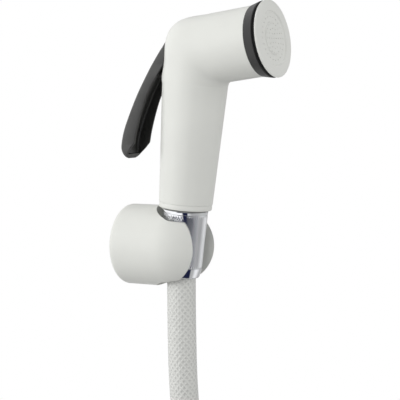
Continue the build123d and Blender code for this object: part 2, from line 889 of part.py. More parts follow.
def barbed_tail(flange_r, bore_r):
    """Hose tail below z = 0 with its flange on top: neck, three barbs and a through bore."""
    barb = tail_length / 3
    neck_r = hose_r - tail_neck_inset
    root_r = tail_r - barb_depth
    with BuildPart() as tail:
        with BuildSketch(Plane.XZ):
            with BuildLine():
                rim = Polyline((bore_r, tail_flange), (flange_r, tail_flange), (flange_r, 0))
                neck = Polyline(rim @ 1, (neck_r, 0), (neck_r, -tail_neck), (root_r, -tail_neck))
                barbs = Polyline(
                    neck @ 1,
                    (tail_r, -tail_neck - barb_lead),
                    (root_r, -tail_neck - barb),
                    (tail_r, -tail_neck - barb),
                    (root_r, -tail_neck - 2 * barb),
                    (tail_r, -tail_neck - 2 * barb),
                    (root_r, -tail_neck - tail_length),
                )
                Polyline(barbs @ 1, (bore_r, -tail_neck - tail_length), rim @ 0)
            make_face()
        revolve(axis=Axis.Z)
    return tail.part


def make_hose_tails():
    """Tail under the cone nut and the tail under the supply nut."""
    with BuildPart() as upper:
        add(grip.offset(nut_shoulder_up).location * barbed_tail(hose_washer_r, tail_bore_r))
    upper.part.label = "upper_hose_tail"
    export_step(upper.part, "parts/upper_hose_tail.step")
    with BuildPart() as lower:
        add(supply.offset(tail_neck).location * barbed_tail(hose_washer_r, tail_bore_r))
    lower.part.label = "lower_hose_tail"
    export_step(lower.part, "parts/lower_hose_tail.step")


def make_ferrules():
    """Crimped steel sleeves round both ends of the hose."""
    for name, plane in (("upper_ferrule", grip.offset(hose_start_up)), ("lower_ferrule", supply)):
        with BuildPart() as ferrule:
            with BuildSketch(plane):
                Circle(hose_r + ferrule_wall)
                Circle(hose_r, mode=Mode.SUBTRACT)
            extrude(amount=-ferrule_length)
        ferrule.part.label = name
        export_step(ferrule.part, f"parts/{name}.step")


def make_hose_tube():
    """Hose from the nut to the coil: straight runs joined by tangent arcs."""
    with BuildPart() as tube:
        with BuildLine() as route:
            add(hose_route)
        with BuildSketch(Plane(origin=route.line @ 0, z_dir=route.line % 0)):
            Circle(hose_r)
        sweep()
        section = pi * hose_r**2
        print("hose bend radii", [round(radius, 1) for radius in hose_radii])
        print("hose tube volume", tube.part.volume, "section by length", section * hose_route.length)
        with BuildSketch(grip.offset(hose_start_up)):
            Circle(tail_r + running_gap)
        extrude(amount=-tail_length, mode=Mode.SUBTRACT)
    tube.part.label = "hose_tube"
    export_step(tube.part, "parts/hose_tube.step")


def make_hose_coil():
    """The outer shape of the hose that is put away in a coil."""
    half = hose_r + coil_ease
    with BuildPart() as coil:
        with BuildSketch(side):
            with Locations((coil_middle_out, coil_up + coil_r)):
                RectangleRounded(coil_advance + 2 * half, 2 * half, hose_r)
        revolve(axis=Axis((0, 0, coil_up), (0, 1, 0)))
    coil.part.label = "hose_coil"
    export_step(coil.part, "parts/hose_coil.step")


def make_hose_ties():
    """Two straps round the coil."""
    inner = hose_r + coil_ease + tie_gap
    outer = inner + tie_thickness
    with BuildPart() as ties:
        for angle in tie_angles:
            outward = Vector(cos(radians(angle)), 0, sin(radians(angle)))
            middle = Vector(0, -coil_middle_out, coil_up) + outward * coil_r
            strap = Plane(origin=middle, x_dir=outward, z_dir=outward.cross(Vector(0, 1, 0)))
            with BuildSketch(strap):
                RectangleRounded(2 * outer, coil_advance + 2 * outer, hose_r)
                RectangleRounded(2 * inner, coil_advance + 2 * inner, hose_r - tie_thickness, mode=Mode.SUBTRACT)
            extrude(amount=tie_width / 2, both=True)
    ties.part.label = "hose_ties"
    export_step(ties.part, "parts/hose_ties.step")


def make_hose_end():
    """Hose from the coil down to the supply nut."""
    with BuildPart() as end:
        with BuildSketch(supply):
            Circle(hose_r)
        extrude(amount=-hose_end_run)
        with BuildSketch(supply):
            Circle(tail_r + running_gap)
        extrude(amount=-tail_length, mode=Mode.SUBTRACT)
    print("hose end run", round(hose_end_run, 1))
    end.part.label = "hose_end"
    export_step(end.part, "parts/hose_end.step")


def make_supply_nut():
    """Hexagon nut that turns on the lower tail and screws onto the water supply."""
    with BuildPart() as nut:
        with BuildSketch(supply.offset(supply_nut_start)):
            RegularPolygon(supply_nut_flats / 2, 6, major_radius=False)
            Circle(hose_r - tail_neck_inset + loose_gap, mode=Mode.SUBTRACT)
        extrude(amount=supply_nut_length)
        with BuildSketch(supply.offset(supply_nut_start + supply_head)):
            Circle(hose_washer_r + loose_gap)
        extrude(amount=supply_nut_length, mode=Mode.SUBTRACT)
        with BuildSketch(supply.offset(tail_neck + tail_flange + supply_washer)):
            Circle(thread_r)
        extrude(amount=supply_nut_length, mode=Mode.SUBTRACT)
        with BuildSketch(supply_side):
            Polygon(
                (supply_nut_flats / 2, supply_nut_start),
                (supply_nut_flats / 2 + hex_corner, supply_nut_start + hex_corner / 2),
                (supply_nut_flats / 2 + hex_corner, supply_nut_start),
                align=None,
            )
        revolve(axis=supply_axis, mode=Mode.SUBTRACT)
    nut.part.label = "supply_nut"
    export_step(nut.part, "parts/supply_nut.step")


def make_supply_washer():
    """Rubber washer under the flange of the lower tail."""
    with BuildPart() as washer:
        with BuildSketch(supply.offset(tail_neck + tail_flange)):
            Circle(hose_washer_r)
            Circle(water_bore_r, mode=Mode.SUBTRACT)
        extrude(amount=supply_washer)
    washer.part.label = "supply_washer"
    export_step(washer.part, "parts/supply_washer.step")


def make_holder():
    """Wall holder: a drum with a domed front, cored from behind round the seat's sleeve."""
    boss_up = screw_spacing / 2
    with BuildPart() as core:
        with BuildSketch(Plane.XZ):
            Circle(holder_cavity_r)
        extrude(amount=seat_out)
        with BuildSketch(grip_side):
            Polygon(
                (0, -2 * holder_r),
                (nut_top_r + seat_gap + sleeve_wall, -2 * holder_r),
                (nut_top_r + seat_gap + sleeve_wall, seat_cup_floor_up - sleeve_wall),
                (seat_cup_r + sleeve_wall, seat_cup_floor_up - sleeve_wall),
                (seat_cup_r + sleeve_wall, 2 * holder_r),
                (0, 2 * holder_r),
                align=None,
            )
        revolve(axis=grip_axis, mode=Mode.SUBTRACT)
        with BuildSketch(Plane.XZ.offset(boss_set_back)):
            with Locations((0, boss_up), (0, -boss_up)):
                Circle(boss_r)
            Rectangle(holder_rib, 2 * holder_cavity_r)
            Rectangle(2 * holder_cavity_r, holder_rib)
        extrude(amount=seat_out, mode=Mode.SUBTRACT)
    with BuildPart() as holder:
        with BuildSketch(side):
            with BuildLine():
                back = Line((0, 0), (0, holder_r - holder_back_round))
                edge = RadiusArc(back @ 1, (holder_back_round, holder_r), holder_back_round)
                barrel = Line(edge @ 1, (holder_barrel, holder_r))
                dome = RadiusArc(barrel @ 1, (holder_barrel + holder_r, 0), holder_r)
                Line(dome @ 1, back @ 0)
            make_face()
        revolve(axis=Axis.Y)
        add(core.part, mode=Mode.SUBTRACT)
        with BuildSketch(Plane.XY.offset(-2 * holder_r)):
            Polygon(
                (-slot_width / 2, -seat_out),
                (-slot_width / 2, -slot_flare_out),
                (-slot_mouth_width / 2, -holder_front),
                (slot_mouth_width / 2, -holder_front),
                (slot_width / 2, -slot_flare_out),
                (slot_width / 2, -seat_out),
                align=None,
            )
        extrude(amount=4 * holder_r, mode=Mode.SUBTRACT)
        with BuildSketch(grip_side):
            Polygon(
                (0, 2 * holder_r),
                (seat_cup_r, 2 * holder_r),
                (seat_cup_r, seat_cup_floor_up),
                (nut_radius(seat_cup_floor_up) + seat_gap, seat_cup_floor_up),
                (nut_radius(nut_bottom_up) + seat_gap, nut_bottom_up),
                (seat_flare_r, seat_flare_up),
                (seat_flare_r, -2 * holder_r),
                (0, -2 * holder_r),
                align=None,
            )
        revolve(axis=grip_axis, mode=Mode.SUBTRACT)
        for up in (-boss_up, boss_up):
            with BuildSketch(Plane(origin=(0, 0, up), x_dir=(0, 0, 1), z_dir=(1, 0, 0))):
                Polygon(
                    (0, seat_out),
                    (screw_head_r + running_gap, seat_out),
                    (screw_head_r + running_gap, screw_head_out),
                    (screw_r + running_gap, screw_head_out - screw_head),
                    (screw_r + running_gap, 0),
                    (0, 0),
                    align=None,
                )
            revolve(axis=Axis((0, 0, up), (0, 1, 0)), mode=Mode.SUBTRACT)
    holder.part.label = "holder"
    export_step(holder.part, "parts/holder.step")


def make_holder_screws():
    """Two countersunk screws through the back of the seat into the wall."""
    cone_end = screw_head_out - screw_head
    with BuildPart() as screws:
        for up in (-screw_spacing / 2, screw_spacing / 2):
            axis_plane = Plane(origin=(0, 0, up), x_dir=(0, 0, 1), z_dir=(1, 0, 0))
            with BuildSketch(axis_plane):
                Polygon(
                    (0, screw_head_out),
                    (screw_head_r, screw_head_out),
                    (screw_r, cone_end),
                    (screw_r, -boss_set_back),
                    (screw_thread_r, -boss_set_back),
                    (screw_thread_r, screw_head_out - screw_length + screw_tip),
                    (0, screw_head_out - screw_length),
                    align=None,
                )
            revolve(axis=Axis((0, 0, up), (0, 1, 0)))
    screws.part.label = "holder_screws"
    export_step(screws.part, "parts/holder_screws.step")


make_casing()
make_grip_end_cap()
make_inlet_connector()
make_riser_tube()
make_valve_body()
make_gland_nut()
make_stem_seal()
make_valve_stem()
make_valve_washer()
make_valve_plug()
make_return_spring()
make_lever()
make_lever_pin()
make_outlet_tube()
make_nozzle_body()
make_flow_disc()
make_collar_ring()
make_spray_plate()
make_face_seal()
make_cone_nut()
make_hose_washer()
make_filter_screen()
make_hose_tails()
make_ferrules()
make_hose_tube()
make_hose_coil()
make_hose_ties()
make_hose_end()
make_supply_nut()
make_supply_washer()
make_holder()
make_holder_screws()
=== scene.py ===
import math

import bmesh
import bpy
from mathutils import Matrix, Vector


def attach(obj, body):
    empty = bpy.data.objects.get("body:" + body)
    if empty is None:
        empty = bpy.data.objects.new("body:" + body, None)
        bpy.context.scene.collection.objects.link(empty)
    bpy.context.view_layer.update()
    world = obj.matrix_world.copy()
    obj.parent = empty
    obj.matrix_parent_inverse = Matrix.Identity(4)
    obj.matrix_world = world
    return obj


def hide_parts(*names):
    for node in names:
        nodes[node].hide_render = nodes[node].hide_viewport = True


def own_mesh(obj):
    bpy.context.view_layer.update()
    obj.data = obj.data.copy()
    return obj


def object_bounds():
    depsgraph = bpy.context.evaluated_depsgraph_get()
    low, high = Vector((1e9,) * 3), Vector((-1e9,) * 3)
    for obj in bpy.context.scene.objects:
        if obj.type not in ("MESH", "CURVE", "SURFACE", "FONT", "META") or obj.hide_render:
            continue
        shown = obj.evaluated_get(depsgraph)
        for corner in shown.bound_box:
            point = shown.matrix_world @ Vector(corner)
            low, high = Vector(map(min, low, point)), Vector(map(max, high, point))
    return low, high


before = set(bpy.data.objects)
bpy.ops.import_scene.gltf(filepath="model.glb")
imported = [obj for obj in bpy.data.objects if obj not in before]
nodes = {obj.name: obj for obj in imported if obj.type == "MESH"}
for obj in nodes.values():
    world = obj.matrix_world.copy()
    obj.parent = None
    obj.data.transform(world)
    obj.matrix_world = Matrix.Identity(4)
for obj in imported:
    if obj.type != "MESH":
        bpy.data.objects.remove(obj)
cad_lo, cad_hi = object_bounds()
BODY = "holder_and_handset"

# The lines and sizes that part.py builds on, in metres and radians
SEAT_OUT = 0.0353
LEAN = math.radians(5.2)
RISE = math.radians(8.2)
ELBOW_UP = 0.1079
HEAD_REACH = 0.0469
HOSE_R = 0.008
HOSE_LENGTH = 1.5
COIL_R = 0.09
COIL_PITCH = 0.017
COIL_OUT = 0.056
COIL_UP = -0.268
COIL_TURNS = 2

GRIP_AXIS = Vector((0, -math.sin(LEAN), math.cos(LEAN)))
GRIP_FRONT = Vector((0, -math.cos(LEAN), -math.sin(LEAN)))
HEAD_AXIS = Vector((0, -math.cos(RISE), math.sin(RISE)))
HEAD_UP = Vector((0, math.sin(RISE), math.cos(RISE)))
SEAT = Vector((0, -SEAT_OUT, 0))
ELBOW = SEAT + GRIP_AXIS * ELBOW_UP
X_AXIS = Vector((1, 0, 0))


def grip_point(up, r=0.0, angle=0.0):
    """Point round the grip axis, angle 0 toward +X and 90 degrees toward the front."""
    return SEAT + GRIP_AXIS * up + X_AXIS * (r * math.cos(angle)) + GRIP_FRONT * (r * math.sin(angle))


def head_point(along, r=0.0, angle=0.0):
    """Place this far out along the head axis, at this radius and angle about it."""
    return ELBOW + HEAD_AXIS * along + (X_AXIS * math.cos(angle) - HEAD_UP * math.sin(angle)) * r


# Materials

BRAID_STRANDS = 16
BRAID_PITCH = 0.0036


def material(name, color, rough, **sockets):
    """Plain material; other sockets are named with _ for a space."""
    mat = bpy.data.materials.new(name)
    mat.use_nodes = True
    bsdf = mat.node_tree.nodes["Principled BSDF"]
    bsdf.inputs["Base Color"].default_value = (*color, 1)
    bsdf.inputs["Roughness"].default_value = rough
    for socket, value in sockets.items():
        bsdf.inputs[socket.replace("_", " ")].default_value = value
    return mat


class Graph:
    """Short calls for building one material's nodes."""

    def __init__(self, owner):
        self.tree = owner.node_tree
        self.bsdf = self.tree.nodes.get("Principled BSDF")

    def add(self, kind, **values):
        node = self.tree.nodes.new(kind)
        for key, value in values.items():
            setattr(node, key, value)
        return node

    def link(self, a, b):
        self.tree.links.new(a, b)

    def coords(self):
        return self.add("ShaderNodeTexCoord").outputs["Object"]

    def uv(self):
        return self.add("ShaderNodeTexCoord").outputs["UV"]

    def stretched(self, vector, scale):
        node = self.add("ShaderNodeMapping")
        node.inputs["Scale"].default_value = scale
        self.link(vector, node.inputs["Vector"])
        return node.outputs["Vector"]

    def noise(self, scale, detail=2.0, vector=None, rough=0.5):
        node = self.add("ShaderNodeTexNoise")
        node.inputs["Scale"].default_value = scale
        node.inputs["Detail"].default_value = detail
        node.inputs["Roughness"].default_value = rough
        self.link(vector or self.coords(), node.inputs["Vector"])
        return node.outputs["Fac"]

    def ramp(self, factor, stops):
        node = self.add("ShaderNodeValToRGB")
        elements = node.color_ramp.elements
        elements.remove(elements[-1])
        elements[0].position = stops[0][0]
        for n, (place, color) in enumerate(stops):
            element = elements.new(place) if n else elements[0]
            element.color = (*color, 1) if hasattr(color, "__len__") else (color, color, color, 1)
        self.link(factor, node.inputs["Fac"])
        return node.outputs["Color"]

    def spread(self, factor, low, high, from_low=0.3, from_high=0.7):
        node = self.add("ShaderNodeMapRange")
        node.inputs["From Min"].default_value = from_low
        node.inputs["From Max"].default_value = from_high
        node.inputs["To Min"].default_value = low
        node.inputs["To Max"].default_value = high
        self.link(factor, node.inputs["Value"])
        return node.outputs["Result"]

    def maths(self, operation, a, b=None):
        node = self.add("ShaderNodeMath", operation=operation)
        for socket, value in zip(node.inputs, (a, b)):
            if value is None:
                continue
            if isinstance(value, (int, float)):
                socket.default_value = value
            else:
                self.link(value, socket)
        return node.outputs[0]

    def bump(self, height, strength, distance, under=None):
        node = self.add("ShaderNodeBump")
        node.inputs["Strength"].default_value = strength
        node.inputs["Distance"].default_value = distance
        self.link(height, node.inputs["Height"])
        if under is not None:
            self.link(under, node.inputs["Normal"])
        return node.outputs["Normal"]

    def rounded_edges(self, radius):
        node = self.add("ShaderNodeBevel", samples=6)
        node.inputs["Radius"].default_value = radius
        return node.outputs["Normal"]

    def background(self, color, strength):
        node = self.add("ShaderNodeBackground")
        node.inputs["Color"].default_value = (*color, 1)
        node.inputs["Strength"].default_value = strength
        return node

    def mixed(self, factor, without, with_it):
        """Mix of two shader nodes."""
        node = self.add("ShaderNodeMixShader")
        self.link(factor, node.inputs["Fac"])
        self.link(without.outputs[0], node.inputs[1])
        self.link(with_it.outputs[0], node.inputs[2])
        return node

    def blend(self, factor, without, with_it):
        """Mix of two colors."""
        node = self.add("ShaderNodeMix", data_type="RGBA")
        self.link(factor, node.inputs[0])
        self.link(without, node.inputs[6])
        self.link(with_it, node.inputs[7])
        return node.outputs[2]

    def color(self, socket):
        self.link(socket, self.bsdf.inputs["Base Color"])

    def rough(self, socket):
        self.link(socket, self.bsdf.inputs["Roughness"])

    def normal(self, socket):
        self.link(socket, self.bsdf.inputs["Normal"])


def plastic(name, color, rough, edge=0.0004, grain=0.02, coat=0.0, mottle=0.03):
    """Moulded plastic: faint mottling, a fine orange-peel skin and softened edges."""
    mat = material(name, color, rough, Coat_Weight=coat, Coat_Roughness=0.12)
    g = Graph(mat)
    dark = tuple(c * (1 - mottle) for c in color)
    g.color(g.ramp(g.noise(55.0, 4.0), [(0.3, dark), (0.7, color)]))
    g.rough(g.spread(g.noise(160.0, 3.0), rough * 0.85, rough * 1.25))
    edges = g.rounded_edges(edge) if edge else None
    g.normal(g.bump(g.noise(1400.0, 2.0), grain, 0.0002, edges))
    return mat


def metal(name, color, rough, streak=(1, 1, 1), grain=0.05, wear=0.15):
    """Metal with fine turning or brushing marks and patches of slightly different polish."""
    mat = material(name, color, rough, Metallic=1.0)
    g = Graph(mat)
    dark = tuple(c * (1 - wear) for c in color)
    lines = g.noise(900.0, 3.0, g.stretched(g.coords(), streak))
    g.color(g.ramp(g.noise(120.0, 3.0), [(0.3, dark), (0.7, color)]))
    g.rough(g.spread(lines, rough * 0.7, rough * 1.4))
    g.normal(g.bump(lines, grain, 0.0001))
    return mat


def braid_material():
    """Clear-coated PVC over a diamond braid of pale threads."""
    mat = material("braided_pvc", (0.7, 0.7, 0.69), 0.34, Coat_Weight=0.35, Coat_Roughness=0.15)
    g = Graph(mat)
    split = g.add("ShaderNodeSeparateXYZ")
    g.link(g.uv(), split.inputs["Vector"])
    around = g.maths("MULTIPLY", split.outputs["X"], 2 * math.pi * BRAID_STRANDS)
    along = g.maths("MULTIPLY", split.outputs["Y"], 2 * math.pi * HOSE_LENGTH / BRAID_PITCH)
    right = g.maths("COSINE", g.maths("ADD", around, along))
    left = g.maths("COSINE", g.maths("SUBTRACT", around, along))
    strands = g.maths("MAXIMUM", right, left)
    thread = g.noise(700.0, 2.0)
    # Tone: darker in the gaps between the strands and lighter on them, with a random tone from thread to
    # thread
    strand_tone = g.maths("ADD", g.spread(strands, 0.0, 0.8, -0.6, 1.0), g.maths("MULTIPLY", thread, 0.6))
    g.color(g.ramp(strand_tone, [(0.1, (0.63, 0.635, 0.61)), (0.6, (0.695, 0.7, 0.675)),
                          (1.0, (0.755, 0.76, 0.73))]))
    relief = g.maths("ADD", strands, g.maths("MULTIPLY", thread, 0.5))
    g.normal(g.bump(relief, 0.6, 0.0003))
    return mat


WHITE = (0.79, 0.798, 0.758)
white_abs = plastic("white_abs", WHITE, 0.36, edge=0, coat=0.08)
white_holder = plastic("white_holder", WHITE, 0.36, edge=0, coat=0.08)
white_face = plastic("white_face", (0.83, 0.838, 0.8), 0.42, edge=0)
black_lever = plastic("black_lever", (0.028, 0.028, 0.026), 0.4, edge=0, grain=0.1, mottle=0.25)
black_lever.node_tree.nodes["Principled BSDF"].inputs["Specular IOR Level"].default_value = 0.9
black_ring = plastic("black_ring", (0.018, 0.018, 0.018), 0.38, edge=0.0003, grain=0.05, mottle=0.2)
nylon = plastic("nylon", (0.62, 0.6, 0.54), 0.45)
tie_black = plastic("tie_black", (0.02, 0.02, 0.022), 0.6, grain=0.2)
chrome = metal("chrome_plate", (0.82, 0.83, 0.85), 0.07, grain=0.01, wear=0.05)
brass = metal("turned_brass", (0.72, 0.56, 0.28), 0.28, streak=(1, 1, 9))
steel = metal("stainless", (0.62, 0.62, 0.61), 0.26, streak=(1, 1, 9), grain=0.06)
rubber = plastic("seal_rubber", (0.02, 0.02, 0.02), 0.75, grain=0.3)
braid = braid_material()

LOOKS = {
    "holder": white_holder, "holder_screws": steel, "casing": white_abs, "grip_end_cap": white_abs,
    "inlet_connector": nylon, "riser_tube": nylon, "valve_body": nylon, "gland_nut": brass,
    "stem_seal": rubber, "valve_stem": steel, "valve_washer": rubber, "valve_plug": nylon,
    "return_spring": steel, "lever": black_lever, "lever_pin": steel, "outlet_tube": nylon,
    "nozzle_body": nylon, "flow_disc": nylon, "face_seal": rubber, "collar_ring": black_ring,
    "spray_plate": white_face, "cone_nut": chrome, "hose_washer": rubber, "filter_screen": steel,
    "upper_hose_tail": brass, "upper_ferrule": steel, "hose_tube": braid, "hose_coil": braid,
    "hose_ties": tie_black, "hose_end": braid, "lower_ferrule": steel, "lower_hose_tail": brass,
    "supply_nut": chrome, "supply_washer": rubber,
}
for name, look in LOOKS.items():
    nodes[name].data.materials.clear()
    nodes[name].data.materials.append(look)


# Meshes

def new_object(name, verts, faces, mat, body, uvs=None, sharp=25):
    """Smooth-shaded piece on a body, with edges over so many degrees left sharp."""
    mesh = bpy.data.meshes.new(name)
    mesh.from_pydata([tuple(v) for v in verts], [], faces)
    mesh.materials.append(mat)
    if uvs:
        layer = mesh.uv_layers.new(name="UVMap")
        for loop, uv in zip(layer.data, uvs):
            loop.uv = uv
    mesh.validate()
    mesh.shade_smooth()
    mesh.set_sharp_from_angle(angle=math.radians(sharp))
    obj = bpy.data.objects.new(name, mesh)
    bpy.context.scene.collection.objects.link(obj)
    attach(obj, body)
    return obj


def turned(name, profile, mat, around=96, knurl=(0, 0), depth=0.0, place=grip_point):
    """Closed profile of (along, radius) turned about an axis, with cut diamonds on a run of its rows."""
    verts = []
    faces = []
    count = len(profile)
    first, last = knurl
    for j in range(around):
        for i, (along, r) in enumerate(profile):
            if first <= i <= last and ((i + j) % 2 or i in knurl):
                r -= depth
            verts.append(place(along, r, 2 * math.pi * j / around))
    for j in range(around):
        for i in range(count):
            a = j * count + i
            b = j * count + (i + 1) % count
            c = (a + count) % len(verts)
            d = (b + count) % len(verts)
            if not first <= i < last:
                faces.append((a, b, d, c))
            elif (i + j) % 2:
                faces += [(a, b, d), (a, d, c)]
            else:
                faces += [(a, b, c), (b, d, c)]
    return new_object(name, verts, faces, mat, BODY, sharp=15)


def strip(start, count):
    """Faces between two rings of vertices, the second right after the first."""
    return [(start + k, start + (k + 1) % count, start + count + (k + 1) % count, start + count + k)
            for k in range(count)]


def tube(verts, faces, a, b, r, bore, around=32):
    """Adds a round bar from a to b, or a tube where it has a bore, to these vertices and faces."""
    ahead = (b - a).normalized()
    side = ahead.orthogonal().normalized()
    over = ahead.cross(side)
    runs = [(a, r), (b, r), (b, bore), (a, bore)] if bore else [(a, r), (b, r)]
    start = len(verts)
    for place, radius in runs:
        for k in range(around):
            turn = 2 * math.pi * k / around
            verts.append(place + (side * math.cos(turn) + over * math.sin(turn)) * radius)
    for n in range(len(runs) - 1):
        faces += strip(start + n * around, around)
    if bore:
        last = start + 3 * around
        faces += [(last + k, last + (k + 1) % around, start + (k + 1) % around, start + k)
                  for k in range(around)]
    else:
        faces += [tuple(reversed(range(start, start + around))),
                  tuple(range(start + around, start + 2 * around))]


# Hose

HOSE_STEP = 0.0013  # between the rings of its mesh
HOSE_SIDES = 40
COIL_STEPS = 16  # control points in one turn


def hose_points():
    """Control points of the hose's line, from the tail inside the nut to the supply nut."""
    points = [
        grip_point(0.001),
        grip_point(-0.013),
        Vector((0, -0.0363, -0.105)),
        Vector((0.0222, -0.0389, -0.1476)),
        Vector((0.0679, -0.0454, -0.1796)),
        Vector((0.09, -0.0545, -0.2222)),
    ]
    control_r = COIL_R / math.cos(math.pi / COIL_STEPS)
    for n in range(COIL_TURNS * COIL_STEPS + 1):
        angle = 2 * math.pi * n / COIL_STEPS
        points.append(Vector((
            control_r * math.cos(angle),
            -COIL_OUT - COIL_PITCH * n / COIL_STEPS,
            COIL_UP - control_r * math.sin(angle),
        )))
    for drop in (0.06, 0.12):
        points.append(Vector((COIL_R, -COIL_OUT - COIL_PITCH * COIL_TURNS, COIL_UP - drop)))
    return points


def route_line(points, name):
    """The smooth line of these control points, as closely spaced points."""
    curve = bpy.data.curves.new(name, "CURVE")
    curve.dimensions = "3D"
    curve.resolution_u = 12
    spline = curve.splines.new("NURBS")
    spline.points.add(len(points) - 1)
    for point, place in zip(spline.points, points):
        point.co = (*place, 1)
    spline.order_u = 3
    spline.use_endpoint_u = True
    obj = bpy.data.objects.new(name, curve)
    bpy.context.scene.collection.objects.link(obj)
    bpy.context.view_layer.update()
    mesh = bpy.data.meshes.new_from_object(obj.evaluated_get(bpy.context.evaluated_depsgraph_get()))
    line = [v.co.copy() for v in mesh.vertices]
    bpy.data.objects.remove(obj)
    bpy.data.meshes.remove(mesh)
    return line


def cut_to_length(line, length):
    """The line with its last straight stretch made as long as the whole needs."""
    done = 0.0
    kept = [line[0]]
    for a, b in zip(line, line[1:]):
        step = (b - a).length
        if done + step > length:
            kept.append(a + (b - a) * ((length - done) / step))
            return kept
        done += step
        kept.append(b)
    return kept


def evenly(line, spacing):
    """The same line in steps of one length."""
    out = [line[0]]
    left = spacing
    for a, b in zip(line, line[1:]):
        step = (b - a).length
        at = 0.0
        while step - at >= left:
            at += left
            out.append(a + (b - a) * (at / step))
            left = spacing
        left -= step - at
    if (out[-1] - line[-1]).length > spacing * 0.3:
        out.append(line[-1])
    else:
        out[-1] = line[-1]
    return out


def sweep(line, radius, around, name, mat, body):
    """Round bar along a line, with its length and its turn as UVs."""
    frames = []
    side = X_AXIS
    total = 0.0
    for n, p in enumerate(line):
        ahead = line[min(n + 1, len(line) - 1)] - line[max(n - 1, 0)]
        ahead.normalize()
        side = (side - ahead * side.dot(ahead)).normalized()
        if n:
            total += (p - line[n - 1]).length
        frames.append((p, side.copy(), ahead.cross(side), total))
    verts = []
    for p, s, t, _ in frames:
        for k in range(around):
            angle = 2 * math.pi * k / around
            verts.append(p + (s * math.cos(angle) + t * math.sin(angle)) * radius)
    faces = []
    uvs = []
    for n in range(len(line) - 1):
        v0 = frames[n][3] / total
        v1 = frames[n + 1][3] / total
        for k in range(around):
            m = (k + 1) % around
            faces.append((n * around + k, n * around + m, (n + 1) * around + m, (n + 1) * around + k))
            u0 = k / around
            u1 = (k + 1) / around
            uvs += [(u0, v0), (u1, v0), (u1, v1), (u0, v1)]
    start = tuple(reversed(range(around)))
    end = tuple((len(line) - 1) * around + k for k in range(around))
    faces += [start, end]
    uvs += [(0.5, 0)] * around + [(0.5, 1)] * around
    return new_object(name, verts, faces, mat, body, uvs)


hose_line = evenly(cut_to_length(route_line(hose_points(), "hose_route"), HOSE_LENGTH), HOSE_STEP)
hose = sweep(hose_line, HOSE_R, HOSE_SIDES, "hose", braid, BODY)
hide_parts("hose_tube", "hose_coil", "hose_end")


# Cone nut and the cap above it, with profiles of (up, radius)

NUT_TOP = 0.0208
NUT_BOTTOM = -0.0164
NUT_LOW_UP = -0.018
NUT_LOW_R = 0.0117
NUT_WIDENING = 0.0011
NUT_LENGTH = 0.0378
NUT_THREAD_R = 0.0089
NUT_BORE_R = 0.0106
NUT_THREAD_TOP = 0.004
BAND_TOP = 0.0184
BAND_BOTTOM = -0.0108
BAND_ROWS = 28
BAND_DIAMONDS = 112
KNURL_DEPTH = 0.00018
LIP_UP = 0.0213
CASING_UP = 0.024
CAP_R = 0.0147
CAP_BORE_R = 0.01045
SKIRT_UP = CASING_UP + 0.009
SKIRT_R = 0.01225
SKIRT_BORE_R = 0.01125


def nut_radius(up):
    """Radius of the nut's tapering side."""
    return NUT_LOW_R + NUT_WIDENING * (up - NUT_LOW_UP) / NUT_LENGTH


def cone_nut():
    """Chrome nut with a knurled band between two plain collars."""
    band_r = nut_radius(BAND_TOP)
    profile = [(NUT_TOP, NUT_BORE_R), (NUT_TOP, 0.0123), (NUT_TOP - 0.00015, 0.0126),
               (NUT_TOP - 0.0004, 0.01278), (NUT_TOP - 0.0008, nut_radius(NUT_TOP)),
               (BAND_TOP + 0.0005, band_r), (BAND_TOP + 0.0002, band_r - 0.0003)]
    first = len(profile)
    for n in range(BAND_ROWS + 1):
        up = BAND_TOP + (BAND_BOTTOM - BAND_TOP) * n / BAND_ROWS
        profile.append((up, nut_radius(up)))
    last = len(profile) - 1
    profile += [(BAND_BOTTOM - 0.0001, 0.0116), (BAND_BOTTOM - 0.0003, 0.0121), (-0.016, 0.0108),
                (NUT_BOTTOM, 0.0105), (NUT_BOTTOM, 0.0091), (-0.0095, 0.0083), (-0.0085, NUT_THREAD_R),
                (NUT_THREAD_TOP, NUT_THREAD_R), (NUT_THREAD_TOP, NUT_BORE_R)]
    nut = turned("cone_nut_knurled", profile, chrome, BAND_DIAMONDS, (first, last), KNURL_DEPTH)
    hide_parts("cone_nut")


def end_cap():
    """Cap at the foot of the grip, its lip drawn up against the casing."""
    lip = [(LIP_UP, CAP_BORE_R), (LIP_UP, 0.0139), (LIP_UP + 0.00006, 0.01421),
           (LIP_UP + 0.00023, 0.01447), (LIP_UP + 0.0005, 0.01464), (LIP_UP + 0.0008, CAP_R)]
    groove = [(CASING_UP - 0.0008, CAP_R), (CASING_UP - 0.0003, 0.01462), (CASING_UP + 0.0002, 0.01463),
              (CASING_UP + 0.00045, 0.01475), (CASING_UP + 0.0002, 0.01453), (CASING_UP, 0.0139)]
    skirt = [(CASING_UP, SKIRT_R), (SKIRT_UP, SKIRT_R), (SKIRT_UP, SKIRT_BORE_R),
             (CASING_UP, SKIRT_BORE_R), (CASING_UP, CAP_BORE_R)]
    cap = turned("grip_end_cap_lip", lip + groove + skirt, white_abs)
    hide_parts("grip_end_cap")


cone_nut()
end_cap()


# Collar ring

FACE_R = 0.021
RING_BACK_R = 0.0195
RING_BORE_R = 0.01695
RING_START = HEAD_REACH - 0.0085
PLATE_BACK = HEAD_REACH - 0.001
FACE_RECESS = 0.0007  # between the CAD ring and the spray plate
GROOVE_WIDTH = 0.0016
GROOVE_R = FACE_R - 0.0015
SHOULDER_R = 0.0005
RING_ROWS = 8


